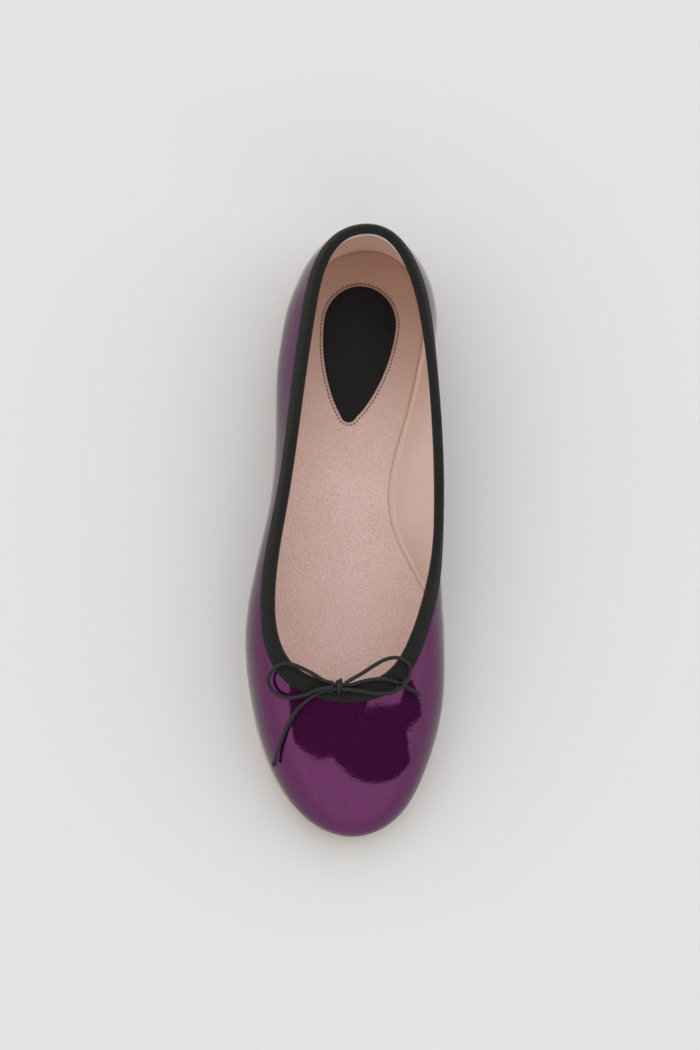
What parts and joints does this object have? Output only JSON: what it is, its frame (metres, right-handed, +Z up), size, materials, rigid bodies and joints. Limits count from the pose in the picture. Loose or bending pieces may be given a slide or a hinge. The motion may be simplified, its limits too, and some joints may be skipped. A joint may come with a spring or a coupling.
{
  "type": "ballet flat",
  "caption": "Right ballet flat: patent upper with a rounded toe and low-cut throat, ribbon-bound topline, small cord bow, insole with a heel pad, thin sole and a very low heel.",
  "frame": {"origin": "on the floor under the middle of the shoe", "axes": "+Z up, +Y towards the back of the heel, -Y towards the toe, +X towards the inside of the foot"},
  "size_m": [0.0824, 0.2505, 0.0593],
  "materials": {
    "upper": "purple pearl patent, high gloss",
    "binding": "black ribbed ribbon, matt",
    "insole": "pinkish beige lining leather, slight sheen",
    "heel_pad": "black leather, soft sheen",
    "outsole": "natural sole leather, matt",
    "heel": "stacked leather board",
    "lift": "black rubber, matt",
    "cord": "black round cord, matt"
  },
  "bodies": {
    "root": {"upper": "upper", "topline_binding": "binding", "insole": "insole", "heel_pad": "heel_pad", "outsole": "outsole", "heel": "heel", "heel_lift": "lift", "bow_knot": "cord", "bow_left_loop": "cord", "bow_right_loop": "cord", "bow_left_end": "cord", "bow_right_end": "cord", "bow_left_bead": "cord", "bow_right_bead": "cord"}
  },
  "joints": []
}
